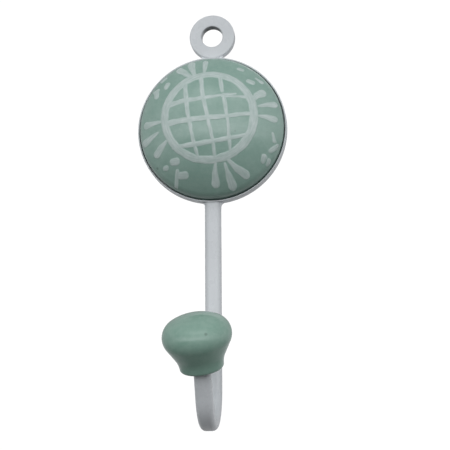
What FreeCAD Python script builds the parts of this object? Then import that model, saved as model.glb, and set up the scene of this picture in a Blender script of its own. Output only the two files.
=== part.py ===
"""Decorative wall hook: a screw eye, a round tray that holds a glazed ceramic medallion,
and a bent steel bar that carries a glazed ceramic knob.

Frame: the wall is the plane y = 0, the front faces -Y, +Z is up, and the origin is the
centre of the eye's screw hole on the wall plane.  Millimetres throughout.
"""
import FreeCAD, Part
import os

import Sketcher

# ---------------------------------------------------------------- driving dimensions
DIMENSIONS = [
    # screw eye on top, and the neck of weld metal below it
    ("eye_radius", 8.0),
    ("eye_hole_radius", 3.75),
    ("eye_thickness", 3.2),
    ("eye_edge_round", 0.4),
    ("neck_half_width", 3.9),
    ("neck_side_radius", 1.4),
    ("neck_inset", 0.4),
    # pressed tray
    ("tray_drop", 34.2),
    ("tray_radius", 26.0),
    ("tray_depth", 4.6),
    ("tray_wall", 0.5),
    ("tray_floor", 0.8),
    ("tray_back_round", 0.8),
    ("tray_lip_round", 0.2),
    ("tray_clearance_margin", 1.0),
    # ceramic medallion and the cement it is bedded on
    ("bed_thickness", 0.4),
    ("bed_outer_radius", 22.5),
    ("bed_inner_radius", 15.0),
    ("medallion_radius", 25.1),
    ("medallion_edge_depth", 6.7),
    ("medallion_dome_height", 11.0),
    ("medallion_edge_round", 5.0),
    ("medallion_back_chamfer", 0.8),
    ("medallion_recess_radius", 14.0),
    ("medallion_recess_depth", 5.0),
    # bent bar
    ("bar_width", 5.6),
    ("bar_thickness", 4.1),
    ("bar_corner_round", 1.8),
    ("bar_bend_radius", 12.8),
    ("bar_bend_drop", 123.2),
    ("bar_arm_length", 10.3),
    ("bar_overlap", 1.0),
    ("tenon_radius", 2.0),
    ("tenon_length", 9.0),
    ("tenon_root", 0.4),
    ("weld_reach", 1.4),
    ("weld_drop", 1.7),
    ("weld_face_radius", 1.7),
    ("weld_inset", 1.0),
    # ceramic knob
    ("knob_tilt", 26.0),
    ("knob_lean", -5.8),
    ("knob_seat", 0.3),
    ("knob_base_radius", 6.9),
    ("knob_base_round", 1.0),
    ("knob_waist_radius", 7.2),
    ("knob_waist_height", 3.0),
    ("knob_waist_round", 8.0),
    ("knob_rim_radius", 12.7),
    ("knob_rim_height", 12.6),
    ("knob_rim_round", 5.6),
    ("knob_height", 18.0),
    ("socket_radius", 2.6),
    ("socket_depth", 10.0),
    ("cement_setback", 0.3),
]

# Two circular edges are the same edge when their sizes and places agree this closely.
EDGE_MATCH = 1e-3
# A full turn, and the quarter turn that stands a cylinder on the wall, in degrees.
FULL_TURN = 360.0
QUARTER_TURN = 90.0

document = FreeCAD.newDocument("wall_hook")
sheet = document.addObject("Spreadsheet::Sheet", "Dims")
for row, (alias, number) in enumerate(DIMENSIONS, start=1):
    sheet.set(f"A{row}", alias)
    sheet.set(f"B{row}", str(number))
    sheet.setAlias(f"B{row}", alias)
document.recompute()

# Places that several pieces share, as expressions on the sheet.
BAR_Y = "(-Dims.bar_thickness / 2)"
BEND_Y = f"({BAR_Y} - Dims.bar_bend_radius)"
BEND_Z = "(-Dims.bar_bend_drop)"
ARC_END_Y = f"({BEND_Y} - Dims.bar_bend_radius * cos(Dims.knob_tilt))"
ARC_END_Z = f"({BEND_Z} - Dims.bar_bend_radius * sin(Dims.knob_tilt))"
ARM_END_Y = f"({ARC_END_Y} - Dims.bar_arm_length * sin(Dims.knob_tilt))"
ARM_END_Z = f"({ARC_END_Z} + Dims.bar_arm_length * cos(Dims.knob_tilt))"
KNOB_Y = f"({ARM_END_Y} - Dims.knob_seat * sin(Dims.knob_tilt))"
KNOB_Z = f"({ARM_END_Z} + Dims.knob_seat * cos(Dims.knob_tilt))"
# The knob and its tenon tilt out from the wall with the arm, and lean a little to one side.
KNOB_TURN = "rotation(0; Dims.knob_lean; Dims.knob_tilt)"
KNOB_PLACE = f"placement(vector(0; {KNOB_Y}; {KNOB_Z}); {KNOB_TURN})"
TENON_DROP = "(Dims.tenon_root + Dims.knob_seat)"
TENON_PLACE = f"{KNOB_PLACE} * placement(vector(0; 0; -{TENON_DROP}); rotation(0; 0; 0))"
TRAY_Z = "(-Dims.tray_drop)"
BAR_TOP_Z = "(-Dims.tray_drop - Dims.tray_radius + Dims.bar_overlap)"
MEDALLION_BACK = "(Dims.tray_floor + Dims.bed_thickness)"


# ---------------------------------------------------------------- helpers
def value(expression):
    """The number that an expression on the sheet gives."""
    return float(sheet.evalExpression(expression))


def vector(x_expression, y_expression):
    return FreeCAD.Vector(value(x_expression), value(y_expression), 0)


def new_body(name):
    """An empty body whose label names its node."""
    body = document.addObject("PartDesign::Body", name)
    body.Label = name
    return body


def new_sketch(body, name, role):
    """A sketch on one of the body's origin planes."""
    plane = next(item for item in body.Origin.OriginFeatures if item.Role == role)
    sketch = body.newObject("Sketcher::SketchObject", name)
    sketch.AttachmentSupport = (plane, "")
    sketch.MapMode = "FlatFace"
    return sketch


def place(item, y_expression, z_expression):
    """Bind an object's position in the wall's frame."""
    item.setExpression("Placement.Base.y", y_expression)
    item.setExpression("Placement.Base.z", z_expression)


def bind(sketch, kind, where, expression):
    """A dimension of the sketch that follows an expression on the sheet."""
    start = Sketcher.Constraint(kind, *where, value(expression))
    sketch.setExpression(f"Constraints[{sketch.addConstraint(start)}]", expression)


def bind_point(sketch, edge, end, x_expression, y_expression):
    """Hold one point of an edge at a place measured from the sketch's origin."""
    bind(sketch, "DistanceX", (-1, 1, edge, end), x_expression)
    bind(sketch, "DistanceY", (-1, 1, edge, end), y_expression)


def join(sketch, first, first_end, second, second_end):
    meet = Sketcher.Constraint("Coincident", first, first_end, second, second_end)
    sketch.addConstraint(meet)


def circle(sketch, radius_expression):
    """A circle about the sketch's origin."""
    shape = Part.Circle(FreeCAD.Vector(), FreeCAD.Vector(0, 0, 1), value(radius_expression))
    number = sketch.addGeometry(shape, False)
    join(sketch, number, 3, -1, 1)
    bind(sketch, "Radius", (number,), radius_expression)


def outline(sketch, corners, arcs=()):
    """A closed outline through corners held by (x, y) expressions, in order.

    arcs maps the number of an edge, which runs from that corner to the next, to
    (radius expression, bulge): the edge is then an arc of that radius, which bulges to
    the left of its direction of travel for a bulge of 1 and to the right for -1.
    """
    arcs = dict(arcs)
    places = [vector(*corner) for corner in corners]
    edges = []
    for index, start in enumerate(places):
        end = places[(index + 1) % len(places)]
        if index in arcs:
            radius_expression, bulge = arcs[index]
            radius = value(radius_expression)
            chord = end - start
            rise = radius - (radius ** 2 - (chord.Length / 2) ** 2) ** 0.5
            left = FreeCAD.Vector(-chord.y, chord.x, 0).normalize()
            shape = Part.Arc(start, (start + end) / 2 + left * (rise * bulge), end)
        else:
            shape = Part.LineSegment(start, end)
        edges.append(sketch.addGeometry(shape, False))
    for index, edge in enumerate(edges):
        forward = index not in arcs or arcs[index][1] < 0
        first_end = 1 if forward else 2
        following = (index + 1) % len(edges)
        next_forward = following not in arcs or arcs[following][1] < 0
        join(sketch, edge, 3 - first_end, edges[following], 1 if next_forward else 2)
        bind_point(sketch, edge, first_end, *corners[index])
        if index in arcs:
            bind(sketch, "Radius", (edge,), arcs[index][0])
    return edges


def pad(body, sketch, name, length):
    feature = body.newObject("PartDesign::Pad", name)
    feature.Profile = sketch
    feature.setExpression("Length", length)
    return feature


def revolve(body, sketch, name):
    """A full turn about the sketch's vertical axis."""
    feature = body.newObject("PartDesign::Revolution", name)
    feature.Profile = sketch
    feature.ReferenceAxis = (sketch, ["V_Axis"])
    feature.Angle = FULL_TURN
    return feature


def round_edges(body, base, rings, name, radius):
    """Round the circular edges listed as (radius, distance along the axis) expressions."""
    document.recompute()
    wanted = [(value(ring_radius), value(distance)) for ring_radius, distance in rings]
    names = []
    for index, edge in enumerate(base.Shape.Edges, start=1):
        if edge.Degenerated or not isinstance(edge.Curve, Part.Circle):
            continue
        curve = edge.Curve
        distance = curve.Center.dot(curve.Axis.normalize())
        for ring_radius, ring_distance in wanted:
            same_size = abs(curve.Radius - ring_radius) < EDGE_MATCH
            if same_size and abs(abs(distance) - ring_distance) < EDGE_MATCH:
                names.append(f"Edge{index}")
    feature = body.newObject("PartDesign::Fillet", name)
    feature.Base = (base, names)
    feature.setExpression("Radius", radius)
    return feature


# ---------------------------------------------------------------- screw eye
def make_mounting_eye():
    """Flat ring with softened edges; its back, which lies on the wall, has a plain hole."""
    body = new_body("mounting_eye")
    rings = new_sketch(body, "eye_rings", "XZ_Plane")
    circle(rings, "Dims.eye_radius")
    circle(rings, "Dims.eye_hole_radius")
    disc = pad(body, rings, "eye_disc", "Dims.eye_thickness")
    edges = [
        ("Dims.eye_radius", "0"),
        ("Dims.eye_radius", "Dims.eye_thickness"),
        ("Dims.eye_hole_radius", "Dims.eye_thickness"),
    ]
    round_edges(body, disc, edges, "eye_soft_edges", "Dims.eye_edge_round")
    return body


def make_eye_weld():
    """Waisted neck of weld metal that fills the gap between the ring and the tray's rim."""
    body = new_body("eye_weld")
    neck = new_sketch(body, "neck_outline", "XZ_Plane")
    neck.setExpression("AttachmentOffset.Base.z", "Dims.neck_inset")
    left, right = "(-Dims.neck_half_width)", "Dims.neck_half_width"
    on_eye = "(-sqrt(Dims.eye_radius ^ 2 - Dims.neck_half_width ^ 2))"
    on_tray = f"({TRAY_Z} + sqrt(Dims.tray_radius ^ 2 - Dims.neck_half_width ^ 2))"
    corners = [(left, on_eye), (right, on_eye), (right, on_tray), (left, on_tray)]
    arcs = {
        0: ("Dims.eye_radius", -1),
        1: ("Dims.neck_side_radius", -1),
        2: ("Dims.tray_radius", -1),
        3: ("Dims.neck_side_radius", -1),
    }
    outline(neck, corners, arcs)
    pad(body, neck, "neck", "Dims.eye_thickness - 2 * Dims.neck_inset")
    return body


# ---------------------------------------------------------------- tray and medallion
def make_medallion_tray():
    """Shallow pressed cup: flat floor on the wall, thin upright rim."""
    body = new_body("medallion_tray")
    section = new_sketch(body, "tray_section", "XY_Plane")
    corners = [
        ("0", "0"),
        ("Dims.tray_radius - Dims.tray_back_round", "0"),
        ("Dims.tray_radius", "-Dims.tray_back_round"),
        ("Dims.tray_radius", "-Dims.tray_depth"),
        ("Dims.tray_radius - Dims.tray_wall", "-Dims.tray_depth"),
        ("Dims.tray_radius - Dims.tray_wall", "-Dims.tray_floor"),
        ("0", "-Dims.tray_floor"),
    ]
    outline(section, corners, {1: ("Dims.tray_back_round", 1)})
    cup = revolve(body, section, "tray_cup")
    lip = [
        ("Dims.tray_radius", "Dims.tray_depth"),
        ("Dims.tray_radius - Dims.tray_wall", "Dims.tray_depth"),
    ]
    round_edges(body, cup, lip, "tray_lip", "Dims.tray_lip_round")
    place(body, "0", TRAY_Z)
    return body


def make_medallion():
    """Ceramic dome with a chamfered foot ring and a hollowed back."""
    body = new_body("medallion")
    section = new_sketch(body, "medallion_section", "XY_Plane")
    recess_top = f"-({MEDALLION_BACK} + Dims.medallion_recess_depth)"
    corners = [
        ("Dims.medallion_recess_radius", f"-{MEDALLION_BACK}"),
        ("Dims.medallion_radius - Dims.medallion_back_chamfer", f"-{MEDALLION_BACK}"),
        ("Dims.medallion_radius", f"-({MEDALLION_BACK} + Dims.medallion_back_chamfer)"),
        ("Dims.medallion_radius", "-Dims.medallion_edge_depth"),
        ("0", "-(Dims.medallion_edge_depth + Dims.medallion_dome_height)"),
        ("0", recess_top),
        ("Dims.medallion_recess_radius", recess_top),
    ]
    dome_radius = (
        "(Dims.medallion_radius ^ 2 + Dims.medallion_dome_height ^ 2)"
        " / (2 * Dims.medallion_dome_height)"
    )
    outline(section, corners, {3: (dome_radius, 1)})
    dome = revolve(body, section, "medallion_dome")
    edge = [("Dims.medallion_radius", "Dims.medallion_edge_depth")]
    round_edges(body, dome, edge, "medallion_edge", "Dims.medallion_edge_round")
    place(body, "0", TRAY_Z)
    return body


def make_medallion_cement():
    """Flat ring of cement between the tray's floor and the medallion's foot."""
    body = new_body("medallion_cement")
    rings = new_sketch(body, "bed_rings", "XZ_Plane")
    rings.setExpression("AttachmentOffset.Base.z", "Dims.tray_floor")
    circle(rings, "Dims.bed_outer_radius")
    circle(rings, "Dims.bed_inner_radius")
    pad(body, rings, "cement_bed", "Dims.bed_thickness")
    place(body, "0", TRAY_Z)
    return body


# ---------------------------------------------------------------- bent bar
def bar_section(sketch):
    """Rounded rectangle about the sketch's origin, width along x."""
    half_x, half_y = "(Dims.bar_width / 2)", "(Dims.bar_thickness / 2)"
    flat_x = f"({half_x} - Dims.bar_corner_round)"
    flat_y = f"({half_y} - Dims.bar_corner_round)"
    corners = [
        (f"-{flat_x}", f"-{half_y}"),
        (flat_x, f"-{half_y}"),
        (half_x, f"-{flat_y}"),
        (half_x, flat_y),
        (flat_x, half_y),
        (f"-{flat_x}", half_y),
        (f"-{half_x}", flat_y),
        (f"-{half_x}", f"-{flat_y}"),
    ]
    corner = ("Dims.bar_corner_round", -1)
    outline(sketch, corners, {1: corner, 3: corner, 5: corner, 7: corner})


def bar_route(sketch):
    """Down the wall, round the bend and up the arm to the foot of the knob."""
    stops = [(BAR_Y, BAR_TOP_Z), (BAR_Y, BEND_Z), (ARC_END_Y, ARC_END_Z), (ARM_END_Y, ARM_END_Z)]
    places = [vector(*stop) for stop in stops]
    low_point = vector(BEND_Y, f"{BEND_Z} - Dims.bar_bend_radius")
    stem = sketch.addGeometry(Part.LineSegment(places[0], places[1]), False)
    bend = sketch.addGeometry(Part.Arc(places[1], low_point, places[2]), False)
    arm = sketch.addGeometry(Part.LineSegment(places[2], places[3]), False)
    join(sketch, stem, 2, bend, 2)
    join(sketch, bend, 1, arm, 1)
    bind_point(sketch, stem, 1, *stops[0])
    bind_point(sketch, stem, 2, *stops[1])
    bind_point(sketch, arm, 1, *stops[2])
    bind_point(sketch, arm, 2, *stops[3])
    bind(sketch, "Radius", (bend,), "Dims.bar_bend_radius")


def make_hook_bar():
    """J-shaped bar with a turned-down tenon; its top end is hollowed to fit the tray."""
    body = new_body("hook_bar_blank")
    route = new_sketch(body, "bar_route", "YZ_Plane")
    bar_route(route)
    section = new_sketch(body, "bar_section", "XY_Plane")
    section.setExpression("AttachmentOffset.Base.y", BAR_Y)
    section.setExpression("AttachmentOffset.Base.z", BAR_TOP_Z)
    bar_section(section)
    document.recompute()
    run = body.newObject("PartDesign::AdditivePipe", "bar_run")
    run.Profile = section
    run.Spine = (route, ["Edge1", "Edge2", "Edge3"])
    document.recompute()

    tenon_end = new_sketch(body, "tenon_circle", "XY_Plane")
    tenon_end.setExpression("AttachmentOffset", TENON_PLACE)
    circle(tenon_end, "Dims.tenon_radius")
    pad(body, tenon_end, "tenon", f"{TENON_DROP} + Dims.tenon_length")

    rim = document.addObject("Part::Cylinder", "tray_rim_clearance")
    rim.Placement.Rotation = FreeCAD.Rotation(FreeCAD.Vector(1, 0, 0), QUARTER_TURN)
    rim.setExpression("Radius", "Dims.tray_radius")
    rim.setExpression("Height", "Dims.bar_thickness + 2 * Dims.tray_clearance_margin")
    place(rim, "Dims.tray_clearance_margin", TRAY_Z)
    bar = document.addObject("Part::Cut", "hook_bar")
    bar.Label = "hook_bar"
    bar.Base = body
    bar.Tool = rim
    return bar


def make_stem_weld(bar):
    """Two fillets of weld metal in the corners between the bar's sides and the rim."""
    body = new_body("stem_weld_blank")
    collar = new_sketch(body, "weld_outline", "XZ_Plane")
    collar.setExpression("AttachmentOffset.Base.z", "Dims.weld_inset")
    side = "(Dims.bar_width / 2)"
    reach = f"({side} + Dims.weld_reach)"
    reach_z = f"({TRAY_Z} - sqrt(Dims.tray_radius ^ 2 - {reach} ^ 2))"
    foot_z = f"({TRAY_Z} - Dims.tray_radius - Dims.weld_drop)"
    corners = [(f"-{reach}", reach_z), (reach, reach_z), (side, foot_z), (f"-{side}", foot_z)]
    face = ("Dims.weld_face_radius", -1)
    outline(collar, corners, {0: ("Dims.tray_radius", -1), 1: face, 3: face})
    pad(body, collar, "weld_collar", "Dims.bar_thickness - 2 * Dims.weld_inset")
    weld = document.addObject("Part::Cut", "stem_weld")
    weld.Label = "stem_weld"
    weld.Base = body
    weld.Tool = bar
    return weld


# ---------------------------------------------------------------- knob
def make_knob():
    """Mushroom knob: rounded foot, hollow waist, soft rim and a domed top."""
    body = new_body("knob")
    section = new_sketch(body, "knob_section", "XZ_Plane")
    corners = [
        ("Dims.socket_radius", "0"),
        ("Dims.knob_base_radius", "0"),
        ("Dims.knob_waist_radius", "Dims.knob_waist_height"),
        ("Dims.knob_rim_radius", "Dims.knob_rim_height"),
        ("0", "Dims.knob_height"),
        ("0", "Dims.socket_depth"),
        ("Dims.socket_radius", "Dims.socket_depth"),
    ]
    rise = "(Dims.knob_height - Dims.knob_rim_height)"
    dome_radius = f"(Dims.knob_rim_radius ^ 2 + {rise} ^ 2) / (2 * {rise})"
    outline(section, corners, {3: (dome_radius, -1)})
    feature = revolve(body, section, "knob_blank")
    rounds = [
        ("base", "Dims.knob_base_radius", "0"),
        ("waist", "Dims.knob_waist_radius", "Dims.knob_waist_height"),
        ("rim", "Dims.knob_rim_radius", "Dims.knob_rim_height"),
    ]
    for name, ring_radius, distance in rounds:
        ring = [(ring_radius, distance)]
        feature = round_edges(body, feature, ring, f"knob_{name}_round", f"Dims.knob_{name}_round")
    body.setExpression("Placement", KNOB_PLACE)
    return body


def make_knob_cement():
    """Cement round the tenon and over its end, filling the knob's socket."""
    body = new_body("knob_cement")
    section = new_sketch(body, "cement_section", "XZ_Plane")
    corners = [
        ("Dims.tenon_radius", "Dims.cement_setback"),
        ("Dims.socket_radius", "Dims.cement_setback"),
        ("Dims.socket_radius", "Dims.socket_depth"),
        ("0", "Dims.socket_depth"),
        ("0", "Dims.tenon_length"),
        ("Dims.tenon_radius", "Dims.tenon_length"),
    ]
    outline(section, corners)
    revolve(body, section, "cement_sleeve")
    body.setExpression("Placement", KNOB_PLACE)
    return body


# ---------------------------------------------------------------- build, test and write
hook_bar = make_hook_bar()
PIECES = [
    make_mounting_eye(),
    make_eye_weld(),
    make_medallion_tray(),
    make_medallion(),
    make_medallion_cement(),
    hook_bar,
    make_stem_weld(hook_bar),
    make_knob(),
    make_knob_cement(),
]
document.recompute()

for item in document.Objects:
    if "Invalid" in item.State or "Error" in item.State:
        raise RuntimeError(f"{item.Name} did not build: {item.State}")

os.makedirs("parts", exist_ok=True)
for piece in PIECES:
    if piece.Shape.isNull() or not piece.Shape.isValid():
        raise RuntimeError(f"{piece.Label} has no valid shape")
for piece in PIECES:
    box = piece.Shape.BoundBox
    print(
        f"{piece.Label:18s} solids {len(piece.Shape.Solids)} volume {piece.Shape.Volume:9.1f}"
        f"  x {box.XMin:7.2f} {box.XMax:7.2f}  y {box.YMin:7.2f} {box.YMax:7.2f}"
        f"  z {box.ZMin:8.2f} {box.ZMax:8.2f}"
    )
    piece.Shape.exportStep(f"parts/{piece.Label}.step")
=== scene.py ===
"""Looks for the wall hook: paint, glaze, cement, the painted motif, studio and camera.

Metres, in the row frame: the wall is the plane y = 0, the front faces -Y and +Z is up.
Sizes called *_mm are millimetres, and are turned into metres by MM where they are used.
"""

import math

import bpy
import numpy as np
from mathutils import Matrix, Vector, noise


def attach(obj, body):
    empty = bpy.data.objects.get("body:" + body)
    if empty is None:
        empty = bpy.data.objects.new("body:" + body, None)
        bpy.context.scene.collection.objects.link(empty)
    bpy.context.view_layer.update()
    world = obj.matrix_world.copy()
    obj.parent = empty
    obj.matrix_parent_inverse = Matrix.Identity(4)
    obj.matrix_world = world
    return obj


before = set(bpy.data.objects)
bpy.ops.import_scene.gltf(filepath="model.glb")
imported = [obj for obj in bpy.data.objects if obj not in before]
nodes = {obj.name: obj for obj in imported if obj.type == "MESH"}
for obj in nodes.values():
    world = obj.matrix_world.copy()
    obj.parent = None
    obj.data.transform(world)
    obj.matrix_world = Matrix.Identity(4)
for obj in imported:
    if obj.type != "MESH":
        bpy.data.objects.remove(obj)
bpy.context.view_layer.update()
MM = 0.001
BODY = "root"

# ---------------------------------------------------------------- camera
CAMERA_AIM_MM = (4.43, -5.0, -68.5)
CAMERA_PLACE_MM = (51.05, -408.0, -150.0)
CAMERA_ROLL = math.radians(-0.38)
CAMERA_LENS = 97.13
SENSOR_WIDTH = 36.0


def make_camera():
    data = bpy.data.cameras.new("camera")
    data.lens = CAMERA_LENS
    data.sensor_width = SENSOR_WIDTH
    data.clip_start = 0.01
    data.clip_end = 20.0
    camera = bpy.data.objects.new("camera", data)
    bpy.context.scene.collection.objects.link(camera)
    place = Vector(CAMERA_PLACE_MM) * MM
    look = (Vector(CAMERA_AIM_MM) * MM - place).normalized()
    right = look.cross(Vector((0, 0, 1))).normalized()
    up = right.cross(look)
    turn = Matrix((right, up, -look)).transposed().to_4x4()
    camera.matrix_world = Matrix.Translation(place) @ turn @ Matrix.Rotation(CAMERA_ROLL, 4, "Z")
    bpy.context.scene.camera = camera


make_camera()


# ---------------------------------------------------------------- shader helpers
class Shader:
    """A material whose nodes are added one call at a time."""

    def __init__(self, name):
        self.material = bpy.data.materials.new(name)
        self.material.use_nodes = True
        self.tree = self.material.node_tree
        self.surface = self.tree.nodes["Principled BSDF"]
        self.place = self.add("ShaderNodeTexCoord").outputs["Object"]

    def add(self, kind, **settings):
        node = self.tree.nodes.new(kind)
        for key, setting in settings.items():
            setattr(node, key, setting)
        return node

    def feed(self, socket, source):
        """Join a socket to an output, or give it a plain value."""
        if isinstance(source, bpy.types.NodeSocket):
            self.tree.links.new(source, socket)
        elif isinstance(source, tuple) and len(source) == 3 and socket.type == "RGBA":
            socket.default_value = (*source, 1.0)
        else:
            socket.default_value = source

    def math(self, operation, first, second=0.0):
        node = self.add("ShaderNodeMath", operation=operation)
        self.feed(node.inputs[0], first)
        self.feed(node.inputs[1], second)
        return node.outputs[0]

    def noise(self, size_mm, detail=2.0, roughness=0.5, source=None, stretch=None):
        """Noise whose features are about size_mm across, from 0 to 1."""
        where = source or self.place
        if stretch:
            mapping = self.add("ShaderNodeMapping")
            self.feed(mapping.inputs["Vector"], where)
            mapping.inputs["Scale"].default_value = stretch
            where = mapping.outputs[0]
        node = self.add("ShaderNodeTexNoise")
        self.feed(node.inputs["Vector"], where)
        node.inputs["Scale"].default_value = 1.0 / (size_mm * MM)
        node.inputs["Detail"].default_value = detail
        node.inputs["Roughness"].default_value = roughness
        return node.outputs["Fac"]

    def split(self, vector):
        """The three parts of a vector."""
        node = self.add("ShaderNodeSeparateXYZ")
        self.feed(node.inputs[0], vector)
        return node.outputs

    def ramp(self, source, low, high, out_low=0.0, out_high=1.0):
        """source from low..high mapped smoothly to out_low..out_high, and held outside it."""
        node = self.add("ShaderNodeMapRange", interpolation_type="SMOOTHSTEP")
        self.feed(node.inputs["Value"], source)
        node.inputs["From Min"].default_value = low
        node.inputs["From Max"].default_value = high
        node.inputs["To Min"].default_value = out_low
        node.inputs["To Max"].default_value = out_high
        return node.outputs[0]

    def mix(self, amount, first, second):
        """Blend of two colours."""
        node = self.add("ShaderNodeMix", data_type="RGBA")
        self.feed(node.inputs["Factor"], amount)
        self.feed(node.inputs["A"], first)
        self.feed(node.inputs["B"], second)
        return node.outputs["Result"]

    def bump(self, height, height_mm, strength, under=None):
        """A normal bent by height, on top of the normal under when there is one."""
        node = self.add("ShaderNodeBump")
        self.feed(node.inputs["Height"], height)
        node.inputs["Distance"].default_value = height_mm * MM
        node.inputs["Strength"].default_value = strength
        if under is not None:
            self.feed(node.inputs["Normal"], under)
        return node.outputs[0]

    def finish(self, **inputs):
        """Feed the surface shader's inputs, with _ for a space in their names."""
        for name, source in inputs.items():
            self.feed(self.surface.inputs[name.replace("_", " ")], source)
        return self.material


def specks(shader, size_mm, share):
    """Sparse round specks, 1 in a speck and 0 outside it."""
    cells = shader.add("ShaderNodeTexVoronoi", feature="F1")
    shader.feed(cells.inputs["Vector"], shader.place)
    cells.inputs["Scale"].default_value = 1.0 / (size_mm * MM)
    split = shader.add("ShaderNodeSeparateColor")
    shader.feed(split.inputs[0], cells.outputs["Color"])
    chosen = shader.math("LESS_THAN", split.outputs[0], share)
    dot = shader.ramp(cells.outputs["Distance"], 0.10, 0.22, 1.0, 0.0)
    return shader.math("MULTIPLY", chosen, dot)


# ---------------------------------------------------------------- materials
WHITE = (0.74, 0.77, 0.79)
WHITE_THIN = (0.66, 0.69, 0.71)
WHITE_SPECK = (0.30, 0.28, 0.25)
# Near-black bore colour: painted shade inside the eye's hole, and wear to steel at its top.
BORE_SHADE_STEEL = (0.015, 0.018, 0.018)
EYE_HOLE_RADIUS_MM = 3.75
SHADE_AND_WEAR_EDGE_MM = 0.35
SHADE_AND_WEAR_UNEVEN_MM = 0.2
SHADE_AND_WEAR_STARTS_MM = 1.2
SHADE_AND_WEAR_FULL_MM = 3.2
MINT = (0.33, 0.49, 0.425)
MINT_DEEP = (0.27, 0.43, 0.365)
MINT_PALE = (0.40, 0.55, 0.49)
MINT_SPECK = (0.12, 0.17, 0.14)
SPECK_SHARE = 0.45
# How dark the painted shade on the lower, down-facing glaze gets.
BOTTOM_SHADE_DEPTH = 0.75
MOTIF_WHITE = (0.69, 0.78, 0.76)
CEMENT = (0.62, 0.59, 0.52)
CEMENT_DARK = (0.45, 0.42, 0.36)


def white_paint(name, bore_radius_mm=None):
    """Powder coat: soft orange peel, slightly uneven cover, a few dark grains.

    In a bore on the frame's Y axis the coat is darkened to near black: painted shade inside
    the hole, and at its top, where it hangs on the screw, wear through to steel.  The
    darkening grows between two heights above the axis.
    """
    shader = Shader(name)
    uneven = shader.ramp(shader.noise(9.0, detail=3.0), 0.35, 0.75)
    colour = shader.mix(shader.math("MULTIPLY", uneven, 0.5), WHITE, WHITE_THIN)
    colour = shader.mix(specks(shader, 2.2, 0.03), colour, WHITE_SPECK)
    peel = shader.noise(0.9, detail=2.0)
    sag = shader.noise(5.0, detail=2.0)
    bump = shader.bump(sag, 0.05, 0.5, shader.bump(peel, 0.012, 0.5))
    roughness = shader.ramp(shader.noise(3.5, detail=3.0), 0.3, 0.7, 0.24, 0.34)
    # Painted shade of the bore, darkest at its top, where there is also wear from the screw.
    if bore_radius_mm:
        x, _, z = shader.split(shader.place)
        radius = shader.math("SQRT", shader.math("ADD", shader.math("MULTIPLY", x, x),
                                                 shader.math("MULTIPLY", z, z)))
        uneven = shader.math("MULTIPLY", shader.noise(1.5), SHADE_AND_WEAR_UNEVEN_MM * MM)
        radius = shader.math("ADD", radius, uneven)
        reach = (bore_radius_mm + SHADE_AND_WEAR_EDGE_MM) * MM
        inside = shader.ramp(radius, bore_radius_mm * MM, reach, 1.0, 0.0)
        upper_shade_and_wear = shader.ramp(z, SHADE_AND_WEAR_STARTS_MM * MM, SHADE_AND_WEAR_FULL_MM * MM, 0.25, 1.0)
        bore_shade_and_wear = shader.math("MULTIPLY", inside, upper_shade_and_wear)
        colour = shader.mix(bore_shade_and_wear, colour, BORE_SHADE_STEEL)
        roughness = shader.math("ADD", roughness, shader.math("MULTIPLY", bore_shade_and_wear, 0.4))
    return shader.finish(Base_Color=colour, Roughness=roughness, Normal=bump)


def mint_glaze(name, tone, gloss, streaky, shade_z_mm):
    """Glaze over hand-brushed colour: clouds, brush streaks, ripples, specks and pinholes.

    tone scales the mint's colours, gloss is the (low, high) roughness, streaky is the share
    of the colour that follows brush strokes, and the colour darkens from the first to the
    second of the two given heights, as painted shade where the surface faces down.
    """
    shader = Shader(name)
    deep, middle, pale = (
        tuple(c * t for c, t in zip(colour, tone)) for colour in (MINT_DEEP, MINT, MINT_PALE)
    )
    cloud = shader.ramp(shader.noise(7.0, detail=4.0, roughness=0.6), 0.3, 0.7)
    fine = shader.ramp(shader.noise(1.6, detail=3.0, roughness=0.6), 0.35, 0.7)
    colour = shader.mix(cloud, deep, middle)
    colour = shader.mix(shader.math("MULTIPLY", fine, 0.35), colour, pale)
    streak = shader.noise(1.1, detail=3.0, roughness=0.6, stretch=(0.16, 1.0, 1.0))
    streak = shader.math("MULTIPLY", shader.ramp(streak, 0.35, 0.65), streaky)
    colour = shader.mix(streak, colour, deep)
    _, _, z = shader.split(shader.place)
    # Painted shade: the colour darkens towards the bottom, where the surface faces down.
    bottom_shade = shader.ramp(z, shade_z_mm[1] * MM, shade_z_mm[0] * MM, 1.0, 0.0)
    colour = shader.mix(bottom_shade, colour, tuple(c * BOTTOM_SHADE_DEPTH for c in deep))
    dots = specks(shader, 3.1, 0.05)
    colour = shader.mix(shader.math("MULTIPLY", dots, SPECK_SHARE), colour, MINT_SPECK)
    ripple = shader.noise(6.0, detail=2.0)
    grain = shader.noise(0.7, detail=2.0)
    bump = shader.bump(ripple, 0.10, 0.35, shader.bump(grain, 0.008, 0.5))
    bump = shader.bump(dots, -0.05, 0.4, bump)
    roughness = shader.ramp(shader.noise(4.0, detail=3.0), 0.3, 0.7, *gloss)
    return shader.finish(Base_Color=colour, Roughness=roughness, Normal=bump)


def cement_set():
    """Gritty set cement."""
    shader = Shader("set_cement")
    grit = shader.noise(0.5, detail=4.0, roughness=0.7)
    colour = shader.mix(shader.ramp(grit, 0.35, 0.65), CEMENT_DARK, CEMENT)
    bump = shader.bump(grit, 0.05, 0.8)
    return shader.finish(Base_Color=colour, Roughness=0.85, Normal=bump)


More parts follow.
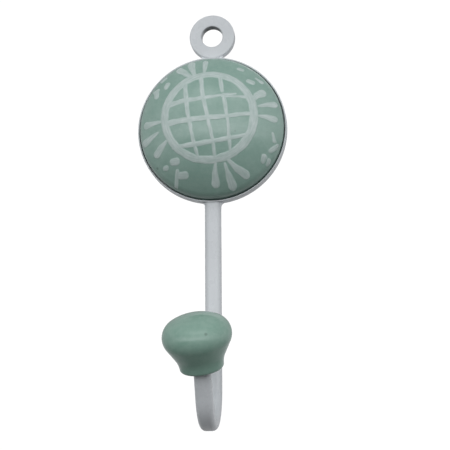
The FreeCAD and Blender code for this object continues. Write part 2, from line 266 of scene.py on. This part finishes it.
def motif_paint():
    """Hand-brushed white: streaks along each stroke, thinner and greener at its edges."""
    shader = Shader("motif_white")
    brush = shader.add("ShaderNodeAttribute", attribute_name="brush").outputs["Vector"]
    cover = shader.add("ShaderNodeAttribute", attribute_name="cover").outputs["Fac"]
    streak = shader.noise(0.45, detail=2.0, source=brush, stretch=(1.0, 0.12, 1.0))
    blot = shader.noise(2.5, detail=3.0)
    body = shader.ramp(streak, 0.25, 0.75, 0.55, 1.0)
    body = shader.math("MULTIPLY", body, shader.ramp(blot, 0.3, 0.7, 0.75, 1.0))
    body = shader.math("MULTIPLY", body, cover)
    colour = shader.mix(body, MINT, MOTIF_WHITE)
    bump = shader.bump(streak, 0.02, 0.4)
    return shader.finish(Base_Color=colour, Roughness=0.32, Normal=bump)


paint = white_paint("white_powder_coat")
eye_paint_with_bore_shade = white_paint("white_powder_coat_eye", EYE_HOLE_RADIUS_MM)
glaze = mint_glaze(
    "mint_glaze_medallion", tone=(1.1, 1.07, 1.075), gloss=(0.07, 0.13), streaky=0.35,
    shade_z_mm=(-43.0, -75.0),
)
knob_glaze = mint_glaze(
    "mint_glaze_knob", tone=(0.97, 1.01, 0.97), gloss=(0.12, 0.2), streaky=0.0,
    shade_z_mm=(-107.0, -134.0),
)
cement = cement_set()
FINISHES = {
    "mounting_eye": eye_paint_with_bore_shade,
    "eye_weld": paint,
    "medallion_tray": paint,
    "medallion": glaze,
    "medallion_cement": cement,
    "hook_bar": paint,
    "stem_weld": paint,
    "knob": knob_glaze,
    "knob_cement": cement,
}
for name, material in FINISHES.items():
    mesh = nodes[name].data
    mesh.materials.clear()
    mesh.materials.append(material)

# ---------------------------------------------------------------- the medallion's surface
# A cap of a ball in front of the glazed disc's edge, rolled over into the edge.
TRAY_CENTRE_Z_MM = -34.2
DOME_RADIUS_MM = 25.1
DOME_EDGE_MM = 6.7
DOME_HEIGHT_MM = 11.0
DOME_ROUND_MM = 5.0
CAP_RADIUS_MM = (DOME_RADIUS_MM ** 2 + DOME_HEIGHT_MM ** 2) / (2 * DOME_HEIGHT_MM)
CAP_CENTRE_MM = CAP_RADIUS_MM - DOME_EDGE_MM - DOME_HEIGHT_MM
ROLL_RADIUS_MM = DOME_RADIUS_MM - DOME_ROUND_MM
ROLL_REACH_MM = CAP_RADIUS_MM - DOME_ROUND_MM
ROLL_CENTRE_MM = CAP_CENTRE_MM - math.sqrt(ROLL_REACH_MM ** 2 - ROLL_RADIUS_MM ** 2)
CAP_EDGE_MM = ROLL_RADIUS_MM * CAP_RADIUS_MM / ROLL_REACH_MM


def dome_point(x, z, lift):
    """Points lift above the glaze, at x and z from the medallion's centre, all in mm."""
    radius = np.hypot(x, z)
    on_cap = radius < CAP_EDGE_MM
    centre_radius = np.where(on_cap, 0.0, ROLL_RADIUS_MM)
    centre_y = np.where(on_cap, CAP_CENTRE_MM, ROLL_CENTRE_MM)
    ball = np.where(on_cap, CAP_RADIUS_MM, DOME_ROUND_MM)
    out = (radius - centre_radius) / ball
    front = np.sqrt(np.clip(1 - out ** 2, 0, 1))
    reach = (ball + lift) / ball
    new_radius = centre_radius + (radius - centre_radius) * reach
    scale = np.divide(new_radius, radius, out=np.ones_like(radius), where=radius > 0)
    y = centre_y - front * (ball + lift)
    return np.stack((x * scale, y, z * scale + TRAY_CENTRE_Z_MM), axis=-1)


# ---------------------------------------------------------------- the painted motif
# Each stroke is (points, half widths): points (x, z) from the medallion's centre, in mm.
RING_CENTRE = (0.3, 1.5)
RING_RADIUS = 15.3
RING_HALF_WIDTH = 1.2
RING_RIPPLE = 0.12
RING_RIPPLE_TURN = 0.6
RING_POINTS = 73
LATTICE = [
    ([(-8.0, 14.0), (-7.0, 4.5), (-5.0, -6.5), (-3.5, -12.5)], [0.75, 0.65, 0.55, 0.45]),
    ([(-2.5, 16.0), (-1.5, 8.0), (0.5, -1.0), (2.0, -8.5), (2.5, -15.0)], [0.6, 0.7, 0.6, 0.55, 0.45]),
    ([(4.0, 16.0), (5.0, 10.0)], [0.5, 0.55]),
    ([(5.5, 8.5), (7.0, -1.0), (7.5, -10.5)], [0.6, 0.55, 0.4]),
    ([(-13.5, 6.0), (-8.5, 7.0), (-1.0, 7.5), (9.5, 9.0)], [0.9, 0.8, 0.6, 0.4]),
    ([(5.0, 8.0), (13.5, 8.0)], [0.45, 0.4]),
    ([(-14.5, -0.5), (-5.0, 0.0), (5.0, 0.5), (14.5, 2.0)], [1.0, 0.9, 0.7, 0.6]),
    ([(-12.0, -9.0), (-4.0, -8.5), (4.0, -7.5), (13.0, -5.5)], [0.5, 0.75, 0.7, 0.55]),
]
PETALS = [
    ([(-6.5, 16.5), (-8.5, 18.5), (-10.5, 20.0)], [0.7, 1.0, 1.2]),
    ([(-5.0, 17.5), (-6.0, 20.0), (-6.5, 22.0)], [0.6, 1.0, 1.35]),
    ([(-1.5, 18.0), (-1.5, 20.5), (-1.5, 22.5)], [0.45, 0.65, 0.8]),
    ([(15.0, 7.0), (16.5, 9.0), (18.0, 10.0)], [0.5, 1.15, 1.4]),
    ([(17.0, 5.0), (20.0, 6.0), (22.0, 6.5)], [0.25, 0.8, 1.05]),
    ([(17.0, 1.5), (19.5, 1.5), (22.0, 1.0)], [0.35, 0.85, 1.15]),
    ([(7.0, -14.0), (9.5, -16.5), (12.0, -18.0)], [0.45, 1.1, 1.4]),
    ([(5.5, -15.0), (6.5, -18.5), (7.5, -21.5)], [0.25, 0.95, 1.4]),
    ([(2.5, -14.5), (2.0, -18.0), (2.0, -21.0)], [0.35, 0.85, 1.25]),
    ([(-16.5, 0.5), (-19.5, 0.5), (-22.0, 0.5)], [0.3, 0.8, 1.2]),
    ([(-17.5, -3.0), (-20.5, -4.5), (-22.5, -5.5)], [0.3, 0.95, 1.3]),
    ([(-14.5, -6.5), (-16.5, -8.5), (-18.0, -10.0)], [0.5, 1.05, 1.3]),
]
DABS = [
    ([(-17.0, 16.5), (-15.5, 17.5)], [0.5, 0.35]),
    ([(-15.0, 13.5), (-14.5, 14.5)], [0.85, 0.9]),
    ([(-19.5, 12.5), (-18.0, 13.0)], [0.4, 0.5]),
    ([(-18.5, 12.0), (-18.5, 10.5)], [0.8, 0.85]),
    ([(10.0, 19.5), (11.5, 19.0)], [0.5, 0.4]),
    ([(13.5, 14.5), (15.0, 14.0)], [0.65, 0.75]),
    ([(16.0, 16.0), (18.0, 14.5)], [0.35, 0.5]),
    ([(13.0, 20.5), (14.5, 19.5)], [0.3, 0.3]),
    ([(21.5, -4.0), (22.0, -6.5)], [0.4, 0.6]),
    ([(20.5, -10.0), (23.0, -8.0)], [0.6, 0.7]),
    ([(18.5, -12.0), (18.0, -13.5)], [0.8, 0.55]),
    ([(20.0, -13.0), (19.5, -14.5)], [0.55, 0.45]),
    ([(-12.5, -13.5), (-11.0, -13.5)], [1.0, 1.1]),
    ([(-15.5, -15.0), (-15.0, -15.0)], [0.75, 0.85]),
    ([(-11.0, -16.5), (-12.0, -21.0)], [0.55, 0.6]),
    ([(-10.0, -18.0), (-8.5, -18.0)], [1.1, 1.2]),
]
PAINT_STEP_MM = 0.16
PAINT_EXTENT_MM = 24.6
PAINT_LIFT_MM = 0.11
PAINT_EDGE_MM = 0.28
PAINT_FADE_MM = 0.28
PAINT_SPREAD_MM = 0.2
PAINT_MARGIN_MM = 0.3
PAINT_ROOT_MM = -0.28
WOBBLE_MM = 0.10
WOBBLE_SIZE_MM = 2.2
WOBBLE_SEED = 3.7
UNPAINTED_MM = -99.0
STROKE_SHIFT_MM = 7.0


def ring_stroke():
    """The large circle, drawn as one closed stroke of slightly changing width."""
    turns = np.linspace(0, 2 * math.pi, RING_POINTS)
    points = [
        (RING_CENTRE[0] + RING_RADIUS * math.cos(a), RING_CENTRE[1] + RING_RADIUS * math.sin(a))
        for a in turns
    ]
    widths = [RING_HALF_WIDTH + RING_RIPPLE * math.cos(2 * a + RING_RIPPLE_TURN) for a in turns]
    return points, widths


def paint_field(x, z):
    """Signed depth inside the painted area in mm, and the brush's along and across places."""
    depth = np.full(x.shape, UNPAINTED_MM)
    brush = np.zeros(x.shape + (3,))
    for number, (points, widths) in enumerate([ring_stroke(), *LATTICE, *PETALS, *DABS]):
        run = 0.0
        for start, end, w0, w1 in zip(points, points[1:], widths, widths[1:]):
            dx, dz = end[0] - start[0], end[1] - start[1]
            length = math.hypot(dx, dz)
            along = ((x - start[0]) * dx + (z - start[1]) * dz) / length
            share = np.clip(along / length, 0, 1)
            off = np.hypot(x - start[0] - share * dx, z - start[1] - share * dz)
            inside = w0 + (w1 - w0) * share + PAINT_SPREAD_MM - off
            across = ((z - start[1]) * dx - (x - start[0]) * dz) / length
            better = inside > depth
            depth = np.where(better, inside, depth)
            sideways = across + number * STROKE_SHIFT_MM
            stroke = np.stack((sideways, along + run, np.zeros_like(x)), axis=-1)
            brush = np.where(better[..., None], stroke, brush)
            run += length
    return depth, brush


def wobble(x, z):
    """Small uneven shifts of the paint's edge, as a hand leaves them."""
    flat = [
        noise.noise(Vector((a / WOBBLE_SIZE_MM, b / WOBBLE_SIZE_MM, WOBBLE_SEED)))
        for a, b in zip(x.ravel(), z.ravel())
    ]
    return np.array(flat).reshape(x.shape) * WOBBLE_MM * 2


def make_motif():
    """The painted strokes as one thin raised skin on the glaze, closed below its surface."""
    count = int(round(2 * PAINT_EXTENT_MM / PAINT_STEP_MM)) + 1
    line = np.linspace(-PAINT_EXTENT_MM, PAINT_EXTENT_MM, count)
    x, z = np.meshgrid(line, line, indexing="ij")
    depth, brush = paint_field(x, z)
    depth = depth + wobble(x, z)
    depth[np.hypot(x, z) > PAINT_EXTENT_MM] = UNPAINTED_MM
    used = depth > -PAINT_MARGIN_MM
    cells = used[:-1, :-1] & used[1:, :-1] & used[1:, 1:] & used[:-1, 1:]
    keep = np.zeros_like(used)
    for di in (0, 1):
        for dj in (0, 1):
            keep[di:count - 1 + di, dj:count - 1 + dj] |= cells
    number = np.full(x.shape, -1)
    number[keep] = np.arange(keep.sum())
    inner = np.clip(depth[keep], 0, None)
    lift = PAINT_LIFT_MM * (1 - np.exp(-inner / PAINT_EDGE_MM))
    lift += np.clip(depth[keep], None, 0) * PAINT_LIFT_MM / PAINT_EDGE_MM
    top = dome_point(x[keep], z[keep], lift)
    root = dome_point(x[keep], z[keep], np.full(lift.shape, PAINT_ROOT_MM))
    total = len(top)
    i, j = np.nonzero(cells)
    corners = (number[i, j], number[i + 1, j], number[i + 1, j + 1], number[i, j + 1])
    quads = np.stack(corners, axis=-1)
    faces = quads.tolist() + (quads[:, ::-1] + total).tolist()
    edges = {
        edge: True for quad in quads.tolist() for edge in zip(quad, quad[1:] + quad[:1])
    }
    for a, b in edges:
        if (b, a) not in edges:
            faces.append([b, a, a + total, b + total])
    mesh = bpy.data.meshes.new("painted_motif")
    mesh.from_pydata((np.concatenate((top, root)) * MM).tolist(), [], faces)
    mesh.update()
    cover = mesh.attributes.new("cover", "FLOAT", "POINT")
    share = np.clip(inner / PAINT_FADE_MM, 0, 1)
    cover.data.foreach_set("value", np.concatenate((share, share)).astype(np.float32))
    strokes = mesh.attributes.new("brush", "FLOAT_VECTOR", "POINT")
    laid = brush[keep] * MM
    strokes.data.foreach_set("vector", np.concatenate((laid, laid)).astype(np.float32).ravel())
    mesh.shade_smooth()
    motif = bpy.data.objects.new("painted_motif", mesh)
    bpy.context.scene.collection.objects.link(motif)
    mesh.materials.append(motif_paint())
    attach(motif, BODY)


make_motif()

# ---------------------------------------------------------------- studio
FLOOR_Z_MM = -170.0
FLOOR_HALF_M = 3.0
FLOOR_GLOW = 0.3


def make_floor():
    half, height = FLOOR_HALF_M, FLOOR_Z_MM * MM
    sides = [(-half, -half), (half, -half), (half, half), (-half, half)]
    corners = [(x, y, height) for x, y in sides]
    mesh = bpy.data.meshes.new("floor")
    mesh.from_pydata(corners, [], [(0, 1, 2, 3)])
    floor = bpy.data.objects.new("floor", mesh)
    bpy.context.scene.collection.objects.link(floor)
    shader = Shader("floor_pale")
    tone = shader.ramp(shader.noise(150.0), 0.3, 0.7, 0.0, 1.0)
    colour = shader.mix(tone, (0.90, 0.90, 0.90), (0.94, 0.94, 0.94))
    shader.finish(
        Base_Color=colour, Roughness=0.9, Emission_Color=colour, Emission_Strength=FLOOR_GLOW
    )
    mesh.materials.append(shader.material)
    floor.visible_diffuse = False
    floor.visible_glossy = False
    floor.visible_shadow = False


# The panels round the object: on each side (height, brightness) from the lowest to the
# highest, where -1 is straight below, 0 is level and 1 is straight above.  The sides blend
# into each other.
FRONT_PANEL = [
    (-0.16, 0.0), (0.02, 2.45), (0.14, 2.45), (0.38, 1.0),
    (0.56, 0.75), (0.67, 1.6), (0.77, 1.2), (0.88, 0.0),
]
BACK_PANEL = [(-0.7, 0.7), (-0.1, 0.6), (0.4, 0.3), (0.75, 0.75)]
LEFT_PANEL = [(-0.4, 0.1), (0.1, 0.55), (0.45, 0.45), (0.7, 0.2)]
RIGHT_PANEL = [(-0.35, 0.0), (0.0, 0.7), (0.42, 0.8), (0.8, 0.1)]
LIGHT_BELOW = 0.0
LIGHT_ABOVE = 0.15
LIGHT_PEAK = 2.5
LIGHT_TINT = (1.02, 1.03, 1.05)
OVER_ONE = 1.0001  # keeps the sine's root above 0 straight up and straight down
BACKDROP = 1.05


def make_world():
    """A plain white backdrop to the camera, and broad soft panels on four sides to the rest."""
    world = bpy.data.worlds.new("studio")
    bpy.context.scene.world = world
    world.use_nodes = True
    tree = world.node_tree
    tree.nodes.clear()

    def add(kind, **settings):
        node = tree.nodes.new(kind)
        for key, setting in settings.items():
            setattr(node, key, setting)
        return node

    def combine(operation, first, second=0.0):
        node = add("ShaderNodeMath", operation=operation)
        for socket, source in zip(node.inputs, (first, second)):
            if isinstance(source, float):
                socket.default_value = source
            else:
                tree.links.new(source, socket)
        return node.outputs[0]

    split = add("ShaderNodeSeparateXYZ")
    tree.links.new(add("ShaderNodeTexCoord").outputs["Generated"], split.inputs[0])
    across, depth, height = split.outputs
    level = combine("SQRT", combine("SUBTRACT", OVER_ONE, combine("MULTIPLY", height, height)))
    ramp_place = combine("MULTIPLY", combine("ADD", height, 1.0), 0.5)
    total = None
    for axis, sign, stops in (
        (depth, -1.0, FRONT_PANEL), (depth, 1.0, BACK_PANEL),
        (across, -1.0, LEFT_PANEL), (across, 1.0, RIGHT_PANEL),
    ):
        facing = combine("MAXIMUM", combine("DIVIDE", combine("MULTIPLY", axis, sign), level), 0.0)
        ramp = add("ShaderNodeValToRGB")
        tree.links.new(ramp_place, ramp.inputs[0])
        elements = ramp.color_ramp.elements
        for place, brightness in [(-1.0, LIGHT_BELOW), *stops, (1.0, LIGHT_ABOVE)]:
            at = (place + 1.0) / 2
            stop = elements[0] if at == 0.0 else elements[-1] if at == 1.0 else elements.new(at)
            stop.color = (*[brightness / LIGHT_PEAK] * 3, 1.0)
        panel = combine("MULTIPLY", combine("MULTIPLY", facing, facing), ramp.outputs["Color"])
        total = panel if total is None else combine("ADD", total, panel)
    lit = add("ShaderNodeBackground")
    lit.inputs["Color"].default_value = (*LIGHT_TINT, 1.0)
    tree.links.new(combine("MULTIPLY", total, LIGHT_PEAK), lit.inputs["Strength"])
    seen = add("ShaderNodeBackground")
    seen.inputs["Color"].default_value = (1.0, 1.0, 1.0, 1.0)
    seen.inputs["Strength"].default_value = BACKDROP
    choose = add("ShaderNodeMixShader")
    tree.links.new(add("ShaderNodeLightPath").outputs["Is Camera Ray"], choose.inputs[0])
    tree.links.new(lit.outputs[0], choose.inputs[1])
    tree.links.new(seen.outputs[0], choose.inputs[2])
    tree.links.new(choose.outputs[0], add("ShaderNodeOutputWorld").inputs["Surface"])


make_floor()
make_world()

bpy.context.scene.view_settings.view_transform = "Standard"
bpy.context.scene.view_settings.look = "None"
